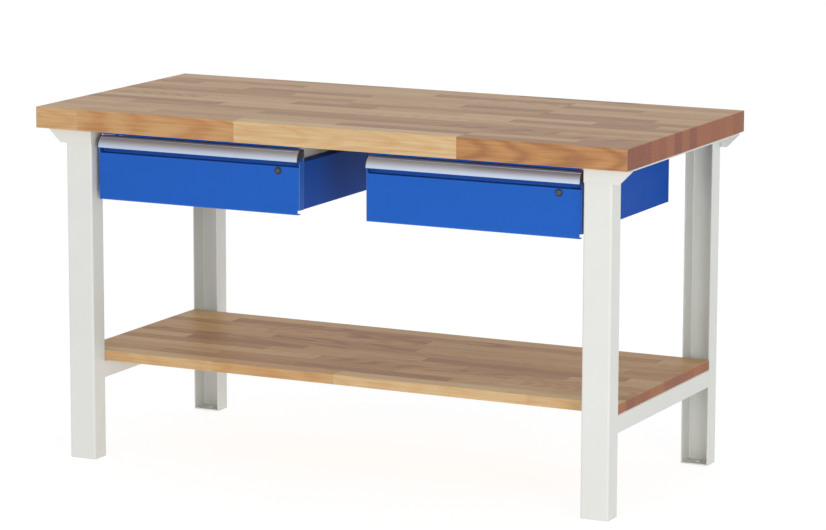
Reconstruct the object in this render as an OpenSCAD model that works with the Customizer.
// Workbench with two drawers: a beech worktop on a folded steel frame, a
// beech shelf below, and two full-extension drawer units under the top.
// Lengths are in millimetres. The bench stands on Z = 0 with its front
// towards -Y, and the origin is under the middle of the worktop.

/* [Worktop] */
// Length of the worktop from end to end
top_len = 1500; // [1250:10:1900]
// Depth of the worktop from front to back
top_dep = 700; // [600:10:850]
// Thickness of the worktop
top_thk = 50; // [40:1:60]
// Height of the upper face of the worktop above the floor
bench_h = 840; // [700:5:1000]
// Width of the small chamfer on every worktop and shelf edge
wood_arris = 1; // [0.5:0.1:2]

/* [Frame] */
// Mean distance from the end of the worktop to the outer side of a leg
leg_inset = 55.5; // [50:0.5:90]
// How far the frame sits off the middle of the worktop, towards +X
frame_shift = 9; // [0:0.5:15]
// How far the worktop overhangs the legs at the front and at the back
top_overhang = 27.5; // [10:0.5:40]
// Width of a leg, along the bench
leg_w = 68; // [50:1:90]
// Depth of a leg, from its face to its open side
leg_d = 49; // [40:1:70]
// Sheet thickness of the legs and the side rails
leg_sheet = 2.5; // [2:0.1:4]
// Inside radius of the bends in the frame
frame_bend = 2; // [1:0.1:4]
// Sheet thickness of the two headers under the worktop
header_sheet = 3; // [2:0.1:4]
// Height of the folded ends of a header
header_h = 35; // [30:1:50]
// Straight lower edge of a header wing, outside the leg
wing_flat = 16; // [8:1:20]
// Height of the upright edge at the tip of a header wing
wing_tip_h = 4.5; // [4:0.5:8]
// Relief gap between a leg flange and the folded end of a header
header_relief = 2; // [1:0.1:3]
// Height of a side rail under the shelf
rail_h = 41; // [30:1:60]
// Thickness of the plate that closes the foot of a leg
foot_thk = 3; // [2:0.5:6]
// Radius of the floor bolt hole in a foot plate
floor_hole_r = 5.5; // [4.5:0.5:7]
// Play between a foot plate and the inside of its leg
foot_play = 0.1; // [0.05:0.05:0.3]
// Play between the cut corner of a foot plate and the bend of its leg
foot_corner_play = 0.5; // [0.2:0.1:1]
// Screws that hold one header to the worktop
header_screws = 4; // [2:1:6]
// Distance from the outer screws of a header to the open sides of the legs
header_screw_inset = 68; // [15:1:150]
// Distance from the screws of a side rail to its ends
rail_screw_inset = 82; // [15:1:180]

/* [Shelf] */
// Height of the upper face of the shelf above the floor
shelf_h = 256; // [150:5:350]
// Thickness of the shelf
shelf_thk = 24; // [18:1:30]
// Play between the shelf and the legs, at the front and at the back
shelf_play = 0.5; // [0.3:0.1:2]

/* [Drawer unit] */
// Width of a drawer front
unit_w = 530; // [420:5:560]
// Gap between a drawer front and the leg beside it
leg_gap = 11; // [5:1:30]
// Setback of the drawer face behind the faces of the legs
face_setback = 17.5; // [5:0.5:30]
// Height of the flat drawer face
face_h = 110.5; // [90:0.5:150]
// Height of the grip recess above the face, up to the top of the grip
recess_h = 40; // [36:1:60]
// Depth of the grip recess, from the face to its back wall
recess_d = 23; // [22:0.5:30]
// Gap between the top of the grip and the front crossbar
grip_gap = 3; // [2:0.5:8]
// Depth of the front lip of the crossbar, below the worktop
crossbar_h = 11.5; // [10:0.5:20]
// Setback of the front crossbar behind the drawer face
crossbar_setback = 5; // [3:0.5:12]
// Setback of the crossbar's two posts behind the grip recess
post_setback = 3; // [2:0.5:10]
// Depth of a crossbar post
post_d = 17; // [12:1:30]
// Distance from the edge of a wall's top flange to the post on it
post_inset = 1.5; // [0.5:0.5:4]
// Width of the foot that joins a post to a unit wall
post_foot = 20; // [14:1:24]
// Depth of the back panel's fold under the worktop
back_lip = 25; // [20:1:40]
// Distance from the screws of a unit to the ends of its drawer front
unit_screw_inset = 88; // [60:1:150]
// Sheet thickness of the drawer front and the unit's walls
unit_sheet = 1.5; // [1:0.1:2]
// Inside radius of the bends in the drawer sheet metal
unit_bend = 1; // [0.5:0.1:1.5]
// Depth of a unit wall from front to back
wall_dep = 484.5; // [450:0.5:520]
// Height of a unit wall
wall_h = 111; // [95:1:150]
// Distance from the underside of the worktop to the top of a unit wall
wall_drop = 44; // [40:1:60]
// Width of the top flange of a unit wall
wall_flange = 28; // [28:0.5:34]
// Width of the bottom flange of a unit wall
wall_foot = 18; // [10:1:22]
// Distance from the end of the drawer front to the outside of a unit wall
wall_inset = 2.5; // [2.5:0.1:5]
// Gap between the drawer front and the front edge of a unit wall
front_gap = 1; // [0.5:0.1:3]

/* [Drawer] */
// Sheet thickness of the drawer body
body_sheet = 1.2; // [0.8:0.1:2]
// Play between the drawer body and the top flange of a unit wall
body_play = 1.5; // [0.5:0.1:3]
// Height of the underside of the drawer body above the bottom of the face
body_lift = 18; // [16:1:30]
// Height of the drawer body
body_h = 128; // [100:1:130]
// Depth of the drawer body from front to back
body_dep = 462; // [420:1:480]
// Width of the hem along the top of each drawer side
hem_w = 8; // [4:1:12]
// Depth of the folded edges round the back of the drawer face
face_return = 15; // [10:1:18]
// Height of the cheeks that close the ends of the grip recess
cheek_h = 12; // [6:1:14]
// Height of the relief notch at one lower corner of the face
notch_h = 11; // [6:1:14]
// Width of the relief notch
notch_w = 5; // [3:1:8]

/* [Runners] */
// Travel of a drawer from closed to fully open
travel = 440; // [300:5:450]
// Length of every runner member
runner_len = 470; // [440:1:480]
// Setback of the runners behind the back wall of the grip recess
runner_setback = 1; // [0.5:0.5:3]
// Height of the runner's middle line above the bottom of a unit wall
runner_lift = 50; // [45:1:70]
// Sheet thickness of the runner members
runner_sheet = 2; // [1.5:0.1:2.5]
// Overall height of an outer runner member
runner_h = 56; // [50:1:60]
// Gap between the middle member and the webs on either side of it
member_gap = 2; // [1:0.5:3]
// How far the lips of the outer member stop short of the runner's middle
outer_lip_gap = 1; // [1:0.5:3]
// How far the lips of the inner member stop short of the runner's middle
inner_lip_gap = 3; // [1:0.5:4]
// Diameter of the runner balls
ball_d = 4; // [3:0.1:5]
// Radial play of a ball between two runner members
ball_play = 0.05; // [0.02:0.01:0.1]
// Balls in one row of a cage
ball_count = 6; // [4:1:10]
// Length of a ball cage
cage_len = 150; // [100:5:160]
// Width of a ball cage
cage_w = 6; // [5:0.5:7]
// Distance from the end of a ball cage to its first ball
ball_edge = 10; // [5:1:20]
// Sheet thickness of a ball cage
cage_sheet = 0.8; // [0.5:0.1:1.2]

/* [Grip] */
// Height of the grip strip
grip_h = 27; // [20:1:30]
// Overhang of the grip's lower lip in front of the drawer face
grip_reach = 9; // [4:0.5:14]
// Depth of the flat top of the grip strip
grip_flat = 13.5; // [10:0.5:16]
// Radius of the grip's rounded front
grip_r = 30; // [24:1:60]
// Wall thickness of the grip strip
grip_wall = 2; // [1.5:0.1:3]
// Height of the leg that holds the grip strip to the recess
grip_leg = 18; // [10:1:24]
// Thickness of a grip end cap
cap_thk = 2.5; // [2:0.1:5]

/* [Lock] */
// Distance from the end of the drawer face to the middle of the lock
lock_inset = 55; // [40:1:60]
// Gap between the lock nut and the bend at the top of the drawer face
nut_drop = 0.25; // [0.1:0.05:3]
// Radius of the lock's head
lock_head_r = 8.75; // [8:0.25:9]
// Thickness of the lock's head
lock_head_thk = 1.8; // [1:0.1:3]
// Radius of the lock's body
lock_body_r = 6.5; // [6:0.1:7]
// Radius of the turning barrel
barrel_r = 5; // [4:0.1:5.4]
// Radial play of the barrel in its housing
barrel_play = 0.05; // [0.02:0.01:0.1]
// How far the barrel stands out of the lock's head
barrel_proud = 0.5; // [0.2:0.1:1]
// Width of the key slot
key_slot_w = 1.2; // [1:0.1:2]
// Height of the key slot
key_slot_h = 6; // [4:0.5:7]
// Depth of the key slot
key_slot_d = 3; // [1:0.5:6]
// Radius of the barrel's neck, which carries the cam
neck_r = 3; // [2:0.1:3.5]
// Radius of the rivet head behind the cam
rivet_r = 4.2; // [3.8:0.1:5]
// Thickness of the rivet head behind the cam
rivet_thk = 1.5; // [1:0.1:2]
// Gap between the rivet head and the back wall of the grip recess
rivet_gap = 1.5; // [0.5:0.1:2]
// Play between the lock's body and the cam
cam_play = 1.5; // [0.5:0.1:2]
// Thickness of the cam
cam_thk = 2; // [1.5:0.1:2.5]
// Radius of the cam's hub
cam_hub_r = 7; // [5.5:0.5:8]
// Reach of the cam from the middle of the lock
cam_reach = 38; // [34:1:42]
// Width of the cam
cam_w = 9; // [6:0.5:12]
// Gap between the locked cam and the strike in front of it
strike_gap = 3; // [1:0.5:3]
// How far the tip of the locked cam reaches behind the strike
strike_bite = 8; // [4:1:12]
// How far the strike reaches down past the locked cam
strike_spare = 4; // [1:0.5:8]
// Gap between the strike and the ledge above it
strike_drop = 1; // [0.5:0.1:2]
// Width across the flats of the lock nut
nut_flats = 15; // [14:0.5:15.4]
// Thickness of the lock nut
nut_thk = 3; // [2:0.5:4]

/* [Screws and buffers] */
// Radius of a screw shank
screw_r = 2.5; // [2:0.1:3]
// Radius of a screw head
screw_head_r = 6; // [4:0.5:7]
// Height of a screw head
screw_head_h = 3.5; // [2:0.5:4]
// Depth that a worktop screw reaches into the wood
top_screw_grip = 32; // [20:1:35]
// Depth that a shelf screw reaches into the wood
shelf_screw_grip = 15; // [8:1:16]
// Radial play of a screw shank in its hole
screw_play = 0.1; // [0.05:0.05:0.5]
// Distance from the side of the drawer body to the middle of a buffer
buffer_inset = 85; // [20:1:150]
// Radius of a rubber buffer
buffer_r = 8; // [5:0.5:12]
// Gap between a buffer and the closed drawer
buffer_gap = 0.5; // [0.3:0.1:2]

/* [Hidden] */
$fn = 48;
// How deep two solids of one piece run into each other where they join
eps = 0.01;
// How far a cut reaches past the surface that it starts from
over = 1;

// Levels and planes of the frame
under_top = bench_h - top_thk;
header_low = under_top - header_h;
half_span = top_len / 2 - leg_inset;
leg_outer = [frame_shift - half_span, frame_shift + half_span];
face_y = top_dep / 2 - top_overhang;
flange_y = face_y - leg_d;
wing_reach = leg_inset - frame_shift;
shelf_under = shelf_h - shelf_thk;
shelf_dep = 2 * (flange_y - shelf_play);
leg_mid = [leg_outer[0] + leg_w / 2, leg_outer[1] - leg_w / 2];
floor_hole_y = (leg_d - leg_sheet) / 2;

// Levels and planes of a drawer unit, from the unit's own middle line
unit_off = half_span - leg_w - leg_gap - unit_w / 2;
unit_mid = [frame_shift - unit_off, frame_shift + unit_off];
drawer_y = -face_y + face_setback;
crossbar_low = under_top - crossbar_h;
grip_top = crossbar_low - grip_gap;
face_top = grip_top - recess_h;
face_low = face_top - face_h;
recess_y = drawer_y + recess_d;
wall_y = recess_y + front_gap;
wall_back = wall_y + wall_dep;
wall_top = under_top - wall_drop;
wall_low = wall_top - wall_h;
wall_out = unit_w / 2 - wall_inset;
wall_in = wall_out - unit_sheet;
body_half = wall_out - wall_flange - body_play;
body_low = face_low + body_lift;
body_top = body_low + body_h;
body_back = recess_y + body_dep;

// The runner: three members side by side between the wall and the body
runner_z = wall_low + runner_lift;
runner_y = recess_y + runner_setback;
ball_gap = ball_d + 2 * ball_play;
outer_in = runner_h / 2 - runner_sheet;
middle_h = 2 * (outer_in - ball_gap);
middle_in = middle_h / 2 - runner_sheet;
inner_h = 2 * (middle_in - ball_gap);
runner_room = wall_in - body_half;
runner_mid = (wall_in + body_half) / 2;
middle_half = runner_room / 2 - runner_sheet - member_gap;
outer_lip = runner_room / 2 - outer_lip_gap;
inner_lip = runner_room / 2 - inner_lip_gap;
outer_ball_x = runner_mid + middle_half / 2;
inner_ball_x = runner_mid - (middle_half + runner_sheet) / 2;
cage_y = runner_y + (runner_len - travel / 2 - cage_len) / 2 + travel / 4;

// The grip's rounded front, from its top edge to its lower lip
grip_back_y = recess_y - unit_sheet;
grip_a = [grip_back_y - grip_flat, grip_top];
grip_b = [drawer_y - grip_reach, grip_top - grip_h];
grip_chord = norm(grip_b - grip_a);
grip_out = [grip_b.y - grip_a.y, grip_a.x - grip_b.x] / grip_chord;
grip_centre = (grip_a + grip_b) / 2 - grip_out * sqrt(grip_r * grip_r - grip_chord * grip_chord / 4);
grip_strip_half = unit_w / 2 - cap_thk;

// The lock, its cam and the strike that the cam locks behind
lock_x = unit_w / 2 - lock_inset;
lock_z = face_top - unit_sheet - unit_bend - nut_drop - nut_flats / 2;
cam_y = recess_y - unit_sheet - rivet_gap - rivet_thk - cam_thk;
lock_body_y = cam_y - cam_play;
strike_y = cam_y - strike_gap - unit_sheet;
strike_reach = lock_x + cam_reach - strike_bite;
strike_low = lock_z - cam_w / 2 - strike_spare;
strike_top = face_top - unit_sheet - strike_drop;

// Where the crossbar, its posts, the screws and the buffers sit
header_screw_y = [
  for (i = [0 : header_screws - 1]) (2 * i / (header_screws - 1) - 1) * (flange_y - header_screw_inset)
];
header_screw_x = [leg_outer[0] + (leg_w - wing_reach) / 2, leg_outer[1] - (leg_w - wing_reach) / 2];
unit_screw_u = unit_w / 2 - unit_screw_inset;
post_y = recess_y + post_setback;
post_x = wall_out - wall_flange + post_inset;
crossbar_back = post_y + post_d;
crossbar_y = drawer_y + crossbar_setback;
crossbar_screw_y = (crossbar_y + crossbar_back) / 2;
back_screw_y = wall_back - back_lip / 2;
rail_screw_y = flange_y - rail_screw_inset;
buffer_u = body_half - buffer_inset;

left = 0;
right = 1;

// ---- Shared shapes ----

// Lays a shape extruded upwards along X from x0: its x becomes Y, its y becomes Z
module along_x(x0) {
  translate([x0, 0, 0]) rotate([90, 0, 90]) children();
}

// Lays a shape extruded upwards by length along Y from y0: its x stays, its y becomes Z
module along_y(y0, length) {
  translate([0, y0 + length, 0]) rotate([90, 0, 0]) children();
}

// A box given by its two opposite corners
module block(low, high) {
  translate(low) cube(high - low);
}

// A round bar along Y between two planes
module bar_y(x, z, y0, y1, r) {
  translate([x, y0, z]) rotate([-90, 0, 0]) cylinder(r = r, h = y1 - y0);
}

// Sheet metal folded along a path of right-angled bends, extruded upwards.
// The path is the middle line of the sheet.
module folded_sheet(path, sheet, bend, length) {
  r = bend + sheet / 2;
  last = len(path) - 1;
  union() {
    for (i = [0 : last - 1]) {
      run = path[i + 1] - path[i];
      step = run / norm(run);
      from = path[i] + step * (i == 0 ? 0 : r);
      to = path[i + 1] - step * (i + 1 == last ? 0 : r);
      off = [-step.y, step.x] * sheet / 2;
      linear_extrude(length) polygon([from + off, to + off, to - off, from - off]);
    }
    for (i = [1 : last - 1]) {
      before = (path[i] - path[i - 1]) / norm(path[i] - path[i - 1]);
      after = (path[i + 1] - path[i]) / norm(path[i + 1] - path[i]);
      centre = path[i] + (after - before) * r;
      reach = 2 * (r + sheet);
      linear_extrude(length) intersection() {
        translate(centre) difference() {
          circle(r = r + sheet / 2);
          circle(r = r - sheet / 2);
        }
        polygon([centre, centre - after * reach, centre + (before - after) * reach, centre + before * reach]);
      }
    }
  }
}

// A folded channel: closed side along y = 0, open side at y = depth
module channel(width, depth, sheet, bend, length) {
  x = (width - sheet) / 2;
  y = sheet / 2;
  folded_sheet([[-x, depth], [-x, y], [x, y], [x, depth]], sheet, bend, length);
}

// A rectangular outline with its corners cut at 45 degrees
module chamfered_2d(width, height, cut) {
  x = width / 2;
  y = height / 2;
  polygon([
    [-x + cut, -y], [x - cut, -y], [x, -y + cut], [x, y - cut],
    [x - cut, y], [-x + cut, y], [-x, y - cut], [-x, -y + cut]
  ]);
}

// A wooden board with a small chamfer on every edge, standing on z0
module board(x_mid, length, width, thickness, z0) {
  intersection() {
    along_x(x_mid - length / 2) linear_extrude(length)
      translate([0, z0 + thickness / 2]) chamfered_2d(width, thickness, wood_arris);
    along_y(-width / 2, width) linear_extrude(width)
      translate([x_mid, z0 + thickness / 2]) chamfered_2d(length, thickness, wood_arris);
  }
}

// A screw from below: its head hangs under z, its shank reaches up
module screw(x, y, z, reach) {
  translate([x, y, z - screw_head_h]) cylinder(r = screw_head_r, h = screw_head_h);
  translate([x, y, z - eps]) cylinder(r = screw_r, h = reach + eps);
}

// The clearance hole for a screw between two levels
module screw_hole(x, y, z0, z1) {
  translate([x, y, z0]) cylinder(r = screw_r + screw_play, h = z1 - z0);
}

// ---- Wood ----

module worktop() {
  color("burlywood") difference() {
    board(0, top_len, top_dep, top_thk, under_top);
    for (x = header_screw_x) for (y = header_screw_y)
      screw_hole(x, y, under_top - over, under_top + top_screw_grip + screw_play);
    for (x = unit_mid) for (u = [-unit_screw_u, unit_screw_u]) for (y = [crossbar_screw_y, back_screw_y])
      screw_hole(x + u, y, under_top - over, under_top + top_screw_grip + screw_play);
  }
}

module shelf() {
  color("burlywood") difference() {
    board(frame_shift, 2 * half_span, shelf_dep, shelf_thk, shelf_under);
    for (x = leg_mid) for (y = [-rail_screw_y, rail_screw_y])
      screw_hole(x, y, shelf_under - over, shelf_under + shelf_screw_grip + screw_play);
  }
}

// ---- Frame ----

// A leg at the front; its open side faces the back. The upper end of its
// face is cut away for the folded end of the header.
module front_leg(side) {
  color("gainsboro") difference() {
    translate([leg_mid[side], -face_y, 0])
      channel(leg_w, leg_d, leg_sheet, frame_bend, under_top - header_sheet);
    block([leg_mid[side] - leg_w, -face_y - over, header_low],
          [leg_mid[side] + leg_w, -face_y + header_sheet + header_relief, under_top]);
  }
}

module rear_leg(side) {
  mirror([0, 1, 0]) front_leg(side);
}

module front_foot_plate(side) {
  width = leg_w - 2 * (leg_sheet + foot_play);
  depth = leg_d - leg_sheet - foot_play;
  corner = frame_bend + foot_corner_play;
  x = width / 2;
  color("gainsboro") translate([leg_mid[side], -face_y + leg_sheet + foot_play, 0]) difference() {
    linear_extrude(foot_thk)
      polygon([[-x + corner, 0], [x - corner, 0], [x, corner], [x, depth], [-x, depth], [-x, corner]]);
    translate([0, floor_hole_y, -over]) cylinder(r = floor_hole_r, h = foot_thk + 2 * over);
  }
}

module rear_foot_plate(side) {
  mirror([0, 1, 0]) front_foot_plate(side);
}

// The outline of a header seen from the front: from the inner side of the
// leg out to the tip of the wing
module wing_2d(side) {
  out = side == left ? -1 : 1;
  inner = leg_outer[side] - out * leg_w;
  tip = leg_outer[side] + out * wing_reach;
  knee = leg_outer[side] + out * wing_flat;
  polygon([
    [inner, header_low], [knee, header_low], [tip, under_top - wing_tip_h],
    [tip, under_top], [inner, under_top]
  ]);
}

module header(side) {
  color("gainsboro") difference() {
    intersection() {
      along_x(-top_len) translate([0, under_top, 0]) mirror([0, 1, 0])
        channel(2 * face_y, header_h, header_sheet, frame_bend, 2 * top_len);
      along_y(-top_dep, 2 * top_dep) linear_extrude(2 * top_dep) wing_2d(side);
    }
    for (y = header_screw_y)
      screw_hole(header_screw_x[side], y, under_top - header_sheet - over, under_top + over);
  }
}

module side_rail(side) {
  color("gainsboro") difference() {
    along_y(-flange_y, 2 * flange_y) translate([leg_mid[side], shelf_under, 0]) mirror([0, 1, 0])
      channel(leg_w, rail_h, leg_sheet, frame_bend, 2 * flange_y);
    for (y = [-rail_screw_y, rail_screw_y])
      screw_hole(leg_mid[side], y, shelf_under - leg_sheet - over, shelf_under + over);
  }
}

module worktop_screws() {
  color("silver") {
    for (x = header_screw_x) for (y = header_screw_y)
      screw(x, y, under_top - header_sheet, header_sheet + top_screw_grip);
    for (x = unit_mid) for (u = [-unit_screw_u, unit_screw_u]) for (y = [crossbar_screw_y, back_screw_y])
      screw(x + u, y, under_top - unit_sheet, unit_sheet + top_screw_grip);
  }
}

module shelf_screws() {
  color("silver")
    for (x = leg_mid) for (y = [-rail_screw_y, rail_screw_y])
      screw(x, y, shelf_under - leg_sheet, leg_sheet + shelf_screw_grip);
}

// ---- Drawer unit, fixed pieces ----

// A unit wall: a channel open towards the drawer, which holds the runner
module unit_wall(unit, side) {
  out = side == left ? -1 : 1;
  web = unit_mid[unit] + out * (wall_out - unit_sheet / 2);
  top_edge = unit_mid[unit] + out * (wall_out - wall_flange);
  foot_edge = unit_mid[unit] + out * (wall_out - wall_foot);
  color("royalblue") {
    along_y(wall_y, wall_dep) folded_sheet([
      [top_edge, wall_top - unit_sheet / 2], [web, wall_top - unit_sheet / 2],
      [web, wall_low + unit_sheet / 2], [foot_edge, wall_low + unit_sheet / 2]
    ], unit_sheet, unit_bend, wall_dep);
    if (side == right) strike(unit_mid[unit]);
  }
}

// The strike: a tab folded forward from the right wall and then inwards.
// The cam of the lock turns in behind it.
module strike(mid) {
  translate([0, 0, strike_low]) folded_sheet([
    [mid + wall_out - unit_sheet / 2, wall_y],
    [mid + wall_out - unit_sheet / 2, strike_y + unit_sheet / 2],
    [mid + strike_reach, strike_y + unit_sheet / 2]
  ], unit_sheet, unit_bend, strike_top - strike_low);
}

// The crossbar: screwed under the worktop, it carries the front of the unit
module unit_crossbar(unit) {
  mid = unit_mid[unit];
  color("royalblue") difference() {
    union() {
      along_x(mid - wall_out) folded_sheet([
        [crossbar_y + unit_sheet / 2, crossbar_low],
        [crossbar_y + unit_sheet / 2, under_top - unit_sheet / 2],
        [crossbar_back, under_top - unit_sheet / 2]
      ], unit_sheet, unit_bend, 2 * wall_out);
      for (out = [-1, 1]) along_y(post_y, post_d) folded_sheet([
        [mid + out * (post_x + unit_sheet / 2), under_top - unit_sheet / 2],
        [mid + out * (post_x + unit_sheet / 2), wall_top + unit_sheet / 2],
        [mid + out * (post_x + post_foot), wall_top + unit_sheet / 2]
      ], unit_sheet, unit_bend, post_d);
    }
    for (u = [-unit_screw_u, unit_screw_u])
      screw_hole(mid + u, crossbar_screw_y, under_top - unit_sheet - over, under_top + over);
  }
}

// The back panel: closes the unit and carries its rear under the worktop
module unit_back(unit) {
  mid = unit_mid[unit];
  color("royalblue") difference() {
    along_x(mid - wall_out) folded_sheet([
      [wall_back + unit_sheet / 2, wall_low], [wall_back + unit_sheet / 2, under_top - unit_sheet / 2],
      [wall_back + unit_sheet - back_lip, under_top - unit_sheet / 2]
    ], unit_sheet, unit_bend, 2 * wall_out);
    for (u = [-unit_screw_u, unit_screw_u])
      screw_hole(mid + u, back_screw_y, under_top - unit_sheet - over, under_top + over);
  }
}

module back_buffers(unit) {
  color("dimgray") for (u = [-buffer_u, buffer_u])
    bar_y(unit_mid[unit] + u, runner_z, body_back + buffer_gap, wall_back, buffer_r);
}

// ---- Runners ----

// Outer member: a channel on the unit wall, open towards the drawer
module runner_outer(unit, side) {
  out = side == left ? -1 : 1;
  web = unit_mid[unit] + out * (wall_in - runner_sheet / 2);
  lip = unit_mid[unit] + out * (wall_in - outer_lip);
  edge = (runner_h - runner_sheet) / 2;
  color("lightsteelblue") along_y(runner_y, runner_len) folded_sheet([
    [lip, runner_z + edge], [web, runner_z + edge], [web, runner_z - edge], [lip, runner_z - edge]
  ], runner_sheet, unit_bend, runner_len);
}

// Middle member: two channels back to back, rolled as one section
module runner_middle(unit, side) {
  out = side == left ? -1 : 1;
  mid = unit_mid[unit] + out * runner_mid;
  color("lightsteelblue") along_y(runner_y, runner_len) linear_extrude(runner_len)
    translate([mid, runner_z]) {
      square([runner_sheet, middle_h], center = true);
      for (z = [-1, 1]) translate([0, z * (middle_h - runner_sheet) / 2])
        square([2 * middle_half, runner_sheet], center = true);
    }
}

// Inner member: a channel on the drawer side, open towards the wall
module runner_inner(unit, side) {
  out = side == left ? -1 : 1;
  web = unit_mid[unit] + out * (body_half + runner_sheet / 2);
  lip = unit_mid[unit] + out * (body_half + inner_lip);
  edge = (inner_h - runner_sheet) / 2;
  color("lightsteelblue") along_y(runner_y, runner_len) folded_sheet([
    [lip, runner_z + edge], [web, runner_z + edge], [web, runner_z - edge], [lip, runner_z - edge]
  ], runner_sheet, unit_bend, runner_len);
}

// One cage: a thin strip with a row of balls through it
module ball_cage(x, z) {
  block([x - cage_w / 2, cage_y, z - cage_sheet / 2],
        [x + cage_w / 2, cage_y + cage_len, z + cage_sheet / 2]);
  pitch = (cage_len - 2 * ball_edge) / (ball_count - 1);
  for (i = [0 : ball_count - 1])
    translate([x, cage_y + ball_edge + i * pitch, z]) sphere(r = ball_d / 2);
}

module ball_cages_outer(unit) {
  color("goldenrod") for (out = [-1, 1]) for (z = [-1, 1])
    ball_cage(unit_mid[unit] + out * outer_ball_x, runner_z + z * (outer_in - ball_gap / 2));
}

module ball_cages_inner(unit) {
  color("goldenrod") for (out = [-1, 1]) for (z = [-1, 1])
    ball_cage(unit_mid[unit] + out * inner_ball_x, runner_z + z * (middle_in - ball_gap / 2));
}

// ---- Drawer ----

// The drawer body: an open tray of folded sheet with hemmed sides
module drawer_body(unit) {
  mid = unit_mid[unit];
  x = body_half - body_sheet / 2;
  z0 = body_low + body_sheet / 2;
  z1 = body_top - body_sheet / 2;
  color("lightgray") {
    along_y(recess_y, body_dep) translate([mid, 0, 0]) folded_sheet([
      [-x + hem_w, z1], [-x, z1], [-x, z0], [x, z0], [x, z1], [x - hem_w, z1]
    ], body_sheet, unit_bend, body_dep);
    for (y = [recess_y, body_back - body_sheet])
      block([mid - x, y, z0], [mid + x, y + body_sheet, body_top]);
  }
}

// The drawer front: face, ledge and recess back folded from one sheet. A
// return at each end stiffens the face and closes the end of the recess.
module drawer_front(unit) {
  mid = unit_mid[unit];
  half = unit_w / 2;
  face = drawer_y + unit_sheet / 2;
  color("royalblue") difference() {
    union() {
      along_x(mid - half) folded_sheet([
        [drawer_y + face_return, face_low + unit_sheet / 2], [face, face_low + unit_sheet / 2],
        [face, face_top - unit_sheet / 2], [recess_y - unit_sheet / 2, face_top - unit_sheet / 2],
        [recess_y - unit_sheet / 2, grip_top - grip_wall]
      ], unit_sheet, unit_bend, unit_w);
      for (x = [mid - half, mid + half - unit_sheet])
        block([x, drawer_y + unit_sheet / 2, face_low + notch_h],
              [x + unit_sheet, recess_y - unit_sheet / 2, face_top + cheek_h]);
    }
    block([mid + half - notch_w, drawer_y - over, face_low - over],
          [mid + half + over, recess_y, face_low + notch_h]);
    bar_y(mid + lock_x, lock_z, drawer_y - over, drawer_y + unit_sheet + over, lock_body_r + barrel_play);
  }
}

// The outline of the rounded front of the grip, down to a given depth
module grip_round_2d(inward) {
  polygon([
    grip_a - grip_out * inward, grip_b - grip_out * inward,
    grip_b + grip_out * grip_r, grip_a + grip_out * grip_r
  ]);
}

module grip_strip(unit) {
  color("silver") along_x(unit_mid[unit] - grip_strip_half) linear_extrude(2 * grip_strip_half) {
    intersection() {
      translate(grip_centre) difference() {
        circle(r = grip_r, $fn = 96);
        circle(r = grip_r - grip_wall, $fn = 96);
      }
      grip_round_2d(grip_wall * 2);
    }
    translate([grip_a.x, grip_top - grip_wall]) square([grip_flat, grip_wall]);
    translate([grip_back_y - grip_wall, grip_top - grip_leg]) square([grip_wall, grip_leg]);
  }
}

module grip_end_caps(unit) {
  color("dimgray") for (x = [-unit_w / 2, unit_w / 2 - cap_thk])
    along_x(unit_mid[unit] + x) linear_extrude(cap_thk) {
      polygon([grip_a, [grip_back_y, grip_top], [grip_back_y, grip_top - grip_leg], grip_b]);
      intersection() {
        translate(grip_centre) circle(r = grip_r, $fn = 96);
        grip_round_2d(grip_wall);
      }
    }
}

// ---- Lock ----

module lock_housing(unit) {
  x = unit_mid[unit] + lock_x;
  color("dimgray") difference() {
    union() {
      bar_y(x, lock_z, drawer_y - lock_head_thk, drawer_y, lock_head_r);
      bar_y(x, lock_z, drawer_y - eps, lock_body_y, lock_body_r);
    }
    bar_y(x, lock_z, drawer_y - lock_head_thk - over, lock_body_y + over, barrel_r + barrel_play);
  }
}

module lock_nut(unit) {
  x = unit_mid[unit] + lock_x;
  y0 = drawer_y + unit_sheet;
  color("silver") difference() {
    translate([x, y0, lock_z]) rotate([-90, 0, 0])
      cylinder(r = nut_flats / 2 / cos(30), h = nut_thk, $fn = 6);
    bar_y(x, lock_z, y0 - over, y0 + nut_thk + over, lock_body_r + barrel_play);
  }
}

module lock_barrel(unit) {
  x = unit_mid[unit] + lock_x;
  face = drawer_y - lock_head_thk - barrel_proud;
  color("silver") difference() {
    union() {
      bar_y(x, lock_z, face, cam_y, barrel_r);
      bar_y(x, lock_z, cam_y - eps, cam_y + cam_thk + eps, neck_r);
      bar_y(x, lock_z, cam_y + cam_thk, cam_y + cam_thk + rivet_thk, rivet_r);
    }
    block([x - key_slot_w / 2, face - over, lock_z - key_slot_h / 2],
          [x + key_slot_w / 2, face + key_slot_d, lock_z + key_slot_h / 2]);
  }
}

// The cam hangs down when unlocked and turns towards +X to lock
module lock_cam(unit) {
  x = unit_mid[unit] + lock_x;
  color("silver") along_y(cam_y, cam_thk) linear_extrude(cam_thk) difference() {
    union() {
      translate([x, lock_z]) circle(r = cam_hub_r);
      translate([x - cam_w / 2, lock_z - cam_reach + cam_w / 2]) square([cam_w, cam_reach - cam_w / 2]);
      translate([x, lock_z - cam_reach + cam_w / 2]) circle(r = cam_w / 2);
    }
    translate([x, lock_z]) circle(r = neck_r + barrel_play);
  }
}

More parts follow.
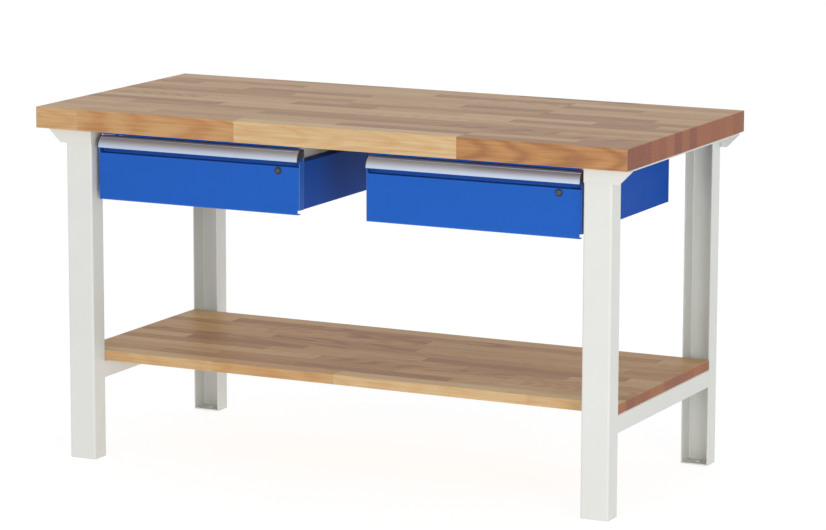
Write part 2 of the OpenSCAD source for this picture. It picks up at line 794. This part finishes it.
worktop();
shelf();
front_leg(left);  // front_left_leg
front_leg(right);  // front_right_leg
rear_leg(left);  // rear_left_leg
rear_leg(right);  // rear_right_leg
front_foot_plate(left);  // front_left_foot_plate
front_foot_plate(right);  // front_right_foot_plate
rear_foot_plate(left);  // rear_left_foot_plate
rear_foot_plate(right);  // rear_right_foot_plate
header(left);  // left_header
header(right);  // right_header
side_rail(left);  // left_side_rail
side_rail(right);  // right_side_rail
worktop_screws();
shelf_screws();
unit_wall(left, left);  // left_unit_left_wall
unit_wall(left, right);  // left_unit_right_wall
unit_crossbar(left);  // left_unit_crossbar
unit_back(left);  // left_unit_back
runner_outer(left, left);  // left_runner_outer_left
runner_outer(left, right);  // left_runner_outer_right
runner_middle(left, left);  // left_runner_middle_left
runner_middle(left, right);  // left_runner_middle_right
runner_inner(left, left);  // left_runner_inner_left
runner_inner(left, right);  // left_runner_inner_right
ball_cages_outer(left);  // left_ball_cages_outer
ball_cages_inner(left);  // left_ball_cages_inner
drawer_body(left);  // left_drawer_body
drawer_front(left);  // left_drawer_front
grip_strip(left);  // left_grip_strip
grip_end_caps(left);  // left_grip_end_caps
lock_housing(left);  // left_lock_housing
lock_nut(left);  // left_lock_nut
lock_barrel(left);  // left_lock_barrel
lock_cam(left);  // left_lock_cam
back_buffers(left);  // left_back_buffers
unit_wall(right, left);  // right_unit_left_wall
unit_wall(right, right);  // right_unit_right_wall
unit_crossbar(right);  // right_unit_crossbar
unit_back(right);  // right_unit_back
runner_outer(right, left);  // right_runner_outer_left
runner_outer(right, right);  // right_runner_outer_right
runner_middle(right, left);  // right_runner_middle_left
runner_middle(right, right);  // right_runner_middle_right
runner_inner(right, left);  // right_runner_inner_left
runner_inner(right, right);  // right_runner_inner_right
ball_cages_outer(right);  // right_ball_cages_outer
ball_cages_inner(right);  // right_ball_cages_inner
drawer_body(right);  // right_drawer_body
drawer_front(right);  // right_drawer_front
grip_strip(right);  // right_grip_strip
grip_end_caps(right);  // right_grip_end_caps
lock_housing(right);  // right_lock_housing
lock_nut(right);  // right_lock_nut
lock_barrel(right);  // right_lock_barrel
lock_cam(right);  // right_lock_cam
back_buffers(right);  // right_back_buffers
